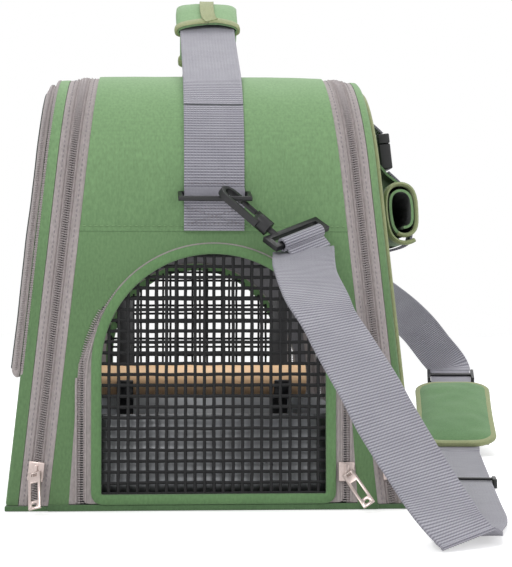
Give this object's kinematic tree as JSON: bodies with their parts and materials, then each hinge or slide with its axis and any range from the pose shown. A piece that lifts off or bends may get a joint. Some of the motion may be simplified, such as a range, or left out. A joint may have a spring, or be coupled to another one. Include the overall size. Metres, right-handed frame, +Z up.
{
  "type": "bird travel carrier",
  "caption": "Soft-sided bird travel carrier with leaning sides, arched net end doors, zipped side doors, perch over a steel tray, carrying handle and clip-on shoulder strap.",
  "frame": {"origin": "centre of the base's resting face, with the shoulder strap left out of account", "axes": "+Z up, +Y along the bag towards the far end door, +X towards the side with the rolled-up cover"},
  "size_m": [0.4301, 0.8369, 0.353],
  "materials": {
    "green_fabric": "woven polyester",
    "olive_binding": "binding tape",
    "zip_tape": "zip tape",
    "webbing": "woven webbing",
    "grey_lining": "lining",
    "net": "coated net",
    "nickel": "satin nickel",
    "black_plastic": "moulded acetal",
    "steel": "stainless",
    "wood": "turned wood"
  },
  "bodies": {
    "bag": {"base_panel": "green_fabric", "base_board": "grey_lining", "near_end_panel": "green_fabric", "far_end_panel": "green_fabric", "roof_panel": "green_fabric", "near_zip_tape": "zip_tape", "far_zip_tape": "zip_tape", "left_zip_inner": "zip_tape", "right_zip_inner": "zip_tape", "tray": "steel", "tray_sides": "steel", "stand_foot": "black_plastic", "perch_posts": "black_plastic", "handle_anchors": "webbing", "strap_near": "webbing", "strap_floor": "webbing", "strap_far": "webbing", "far_adjuster": "black_plastic"},
    "near_door": {"near_door_rim": "green_fabric", "near_door_net": "net"},
    "near_slider": {"near_slider": "nickel"},
    "near_pull": {"near_pull": "nickel"},
    "far_door": {"far_door_rim": "green_fabric", "far_door_net": "net"},
    "far_slider": {"far_slider": "nickel"},
    "far_pull": {"far_pull": "nickel"},
    "left_door": {"left_zip_outer": "zip_tape", "left_door_frame": "green_fabric", "left_door_net": "net", "cover_zip_tape": "zip_tape"},
    "left_slider": {"left_slider": "nickel"},
    "left_pull": {"left_pull": "nickel"},
    "left_cover": {"left_cover": "green_fabric"},
    "cover_slider": {"cover_slider": "nickel"},
    "cover_pull": {"cover_pull": "nickel"},
    "right_door": {"right_zip_outer": "zip_tape", "right_door_frame": "green_fabric", "right_door_net": "net", "right_piping": "olive_binding", "rolled_cover": "green_fabric", "roll_straps": "webbing", "buckle_sockets": "black_plastic"},
    "right_slider": {"right_slider": "nickel"},
    "right_pull": {"right_pull": "nickel"},
    "near_buckle_plug": {"near_buckle_plug": "black_plastic"},
    "far_buckle_plug": {"far_buckle_plug": "black_plastic"},
    "perch": {"perch": "wood"},
    "handle": {"handle_strap": "webbing", "grip_wrap": "green_fabric"},
    "near_ring": {"near_ring": "black_plastic"},
    "far_ring": {"far_ring": "black_plastic"},
    "near_hook": {"near_hook": "black_plastic"},
    "far_hook": {"far_hook": "black_plastic"},
    "near_gate": {"near_gate": "black_plastic"},
    "far_gate": {"far_gate": "black_plastic"},
    "near_swivel": {"near_swivel": "black_plastic"},
    "far_swivel": {"far_swivel": "black_plastic"},
    "pad": {"shoulder_pad": "green_fabric", "pad_backing": "grey_lining"},
    "floor_adjuster": {"floor_adjuster": "black_plastic"}
  },
  "joints": [
    {"name": "near_door_hinge", "type": "hinge", "parent": "bag", "child": "near_door", "pos_m": [0, -0.2033, 0.0043], "axis": [1, 0, 0], "range_deg": [0, 90]},
    {"name": "far_door_hinge", "type": "hinge", "parent": "bag", "child": "far_door", "pos_m": [0, 0.2033, 0.0043], "axis": [-1, 0, 0], "range_deg": [0, 90]},
    {"name": "left_door_hinge", "type": "hinge", "parent": "bag", "child": "left_door", "pos_m": [-0.13124, 0, 0.0033], "axis": [0, -1, 0], "range_deg": [0, 78]},
    {"name": "right_door_hinge", "type": "hinge", "parent": "bag", "child": "right_door", "pos_m": [0.12825, 0, 0.0033], "axis": [0, 1, 0], "range_deg": [0, 70]},
    {"name": "left_cover_lift", "type": "hinge", "parent": "left_door", "child": "left_cover", "pos_m": [-0.10823, 0, 0.2671], "axis": [0, 1, 0], "range_deg": [0, 100]},
    {"name": "perch_lift", "type": "slide", "parent": "bag", "child": "perch", "axis": [0, 0, 1], "range_m": [0, 0.045]},
    {"name": "handle_flop", "type": "hinge", "parent": "bag", "child": "handle", "pos_m": [0, 0, 0.282], "axis": [0, 1, 0], "range_deg": [-60, 60], "deforming": ["handle_strap"]},
    {"name": "near_zip_slide", "type": "slide", "parent": "near_door", "child": "near_slider", "axis": [0, 0, 1], "range_m": [0, 0.055]},
    {"name": "near_pull_swing", "type": "hinge", "parent": "near_slider", "child": "near_pull", "pos_m": [0.08456, -0.2081, 0.0223], "axis": [-0.848, 0, -0.5299], "range_deg": [-8, 110]},
    {"name": "far_zip_slide", "type": "slide", "parent": "far_door", "child": "far_slider", "axis": [0, 0, 1], "range_m": [0, 0.055]},
    {"name": "far_pull_swing", "type": "hinge", "parent": "far_slider", "child": "far_pull", "pos_m": [0.08456, 0.2081, 0.0223], "axis": [0.848, 0, 0.5299], "range_deg": [-8, 110]},
    {"name": "left_zip_slide", "type": "slide", "parent": "left_door", "child": "left_slider", "axis": [0.11, 0, 0.9939], "range_m": [0, 0.18]},
    {"name": "left_pull_swing", "type": "hinge", "parent": "left_slider", "child": "left_pull", "pos_m": [-0.11192, -0.20618, 0.02313], "axis": [-0.9535, 0.1843, -0.2385], "range_deg": [-8, 110]},
    {"name": "right_zip_slide", "type": "slide", "parent": "right_door", "child": "right_slider", "axis": [-0.11, 0, 0.9939], "range_m": [0, 0.18]},
    {"name": "right_pull_swing", "type": "hinge", "parent": "right_slider", "child": "right_pull", "pos_m": [0.11363, -0.20583, 0.02353], "axis": [-0.7575, -0.1645, -0.6318], "range_deg": [-8, 110]},
    {"name": "cover_zip_slide", "type": "slide", "parent": "left_cover", "child": "cover_slider", "axis": [0.11, 0, 0.9939], "range_m": [0, 0.1]},
    {"name": "cover_pull_swing", "type": "hinge", "parent": "cover_slider", "child": "cover_pull", "pos_m": [-0.13414, 0.1835, 0.10395], "axis": [0, 1, 0], "range_deg": [-4, 110]},
    {"name": "near_plug_pull", "type": "slide", "parent": "right_door", "child": "near_buckle_plug", "axis": [-0.11, 0, 0.9939], "range_m": [0, 0.01], "deforming": ["roll_straps"]},
    {"name": "far_plug_pull", "type": "slide", "parent": "right_door", "child": "far_buckle_plug", "axis": [-0.11, 0, 0.9939], "range_m": [0, 0.01], "deforming": ["roll_straps"]},
    {"name": "near_ring_lift", "type": "hinge", "parent": "bag", "child": "near_ring", "pos_m": [0, -0.20378, 0.199], "axis": [-1, 0, 0], "range_deg": [0, 35], "deforming": ["strap_near"]},
    {"name": "near_hook_swing", "type": "hinge", "parent": "near_ring", "child": "near_hook", "pos_m": [0, -0.22027, 0.19489], "axis": [-1, 0, 0], "range_deg": [0, 20], "deforming": ["strap_near"]},
    {"name": "near_gate_spring", "type": "hinge", "parent": "near_hook", "child": "near_gate", "pos_m": [0.02475, -0.217, 0.1867], "axis": [0.5337, -0.4474, 0.7177], "range_deg": [0, 22], "stiffness_Nm_per_rad": 0.01},
    {"name": "near_swivel_turn", "type": "hinge", "parent": "near_hook", "child": "near_swivel", "pos_m": [0.03213, -0.22484, 0.17632], "axis": [0.7416, -0.1603, -0.6514], "range_deg": [-12, 12], "deforming": ["strap_near"]},
    {"name": "far_ring_lift", "type": "hinge", "parent": "bag", "child": "far_ring", "pos_m": [0, 0.20378, 0.199], "axis": [1, 0, 0], "range_deg": [0, 35], "deforming": ["strap_far"]},
    {"name": "far_hook_swing", "type": "hinge", "parent": "far_ring", "child": "far_hook", "pos_m": [0, 0.22027, 0.19489], "axis": [1, 0, 0], "range_deg": [0, 20], "deforming": ["strap_far"]},
    {"name": "far_gate_spring", "type": "hinge", "parent": "far_hook", "child": "far_gate", "pos_m": [0.02475, 0.217, 0.1867], "axis": [-0.5337, -0.4474, -0.7177], "range_deg": [0, 22], "stiffness_Nm_per_rad": 0.01},
    {"name": "far_swivel_turn", "type": "hinge", "parent": "far_hook", "child": "far_swivel", "pos_m": [0.03213, 0.22484, 0.17632], "axis": [-0.7416, -0.1603, 0.6514], "range_deg": [-12, 12], "deforming": ["strap_far"]},
    {"name": "pad_slide", "type": "slide", "parent": "bag", "child": "pad", "axis": [0.1354, 0.9476, 0.2892], "range_m": [0, 0.012]},
    {"name": "adjuster_slide", "type": "slide", "parent": "bag", "child": "floor_adjuster", "axis": [0.1576, 0.9875, 0], "range_m": [-0.12, 0.1]}
  ]
}
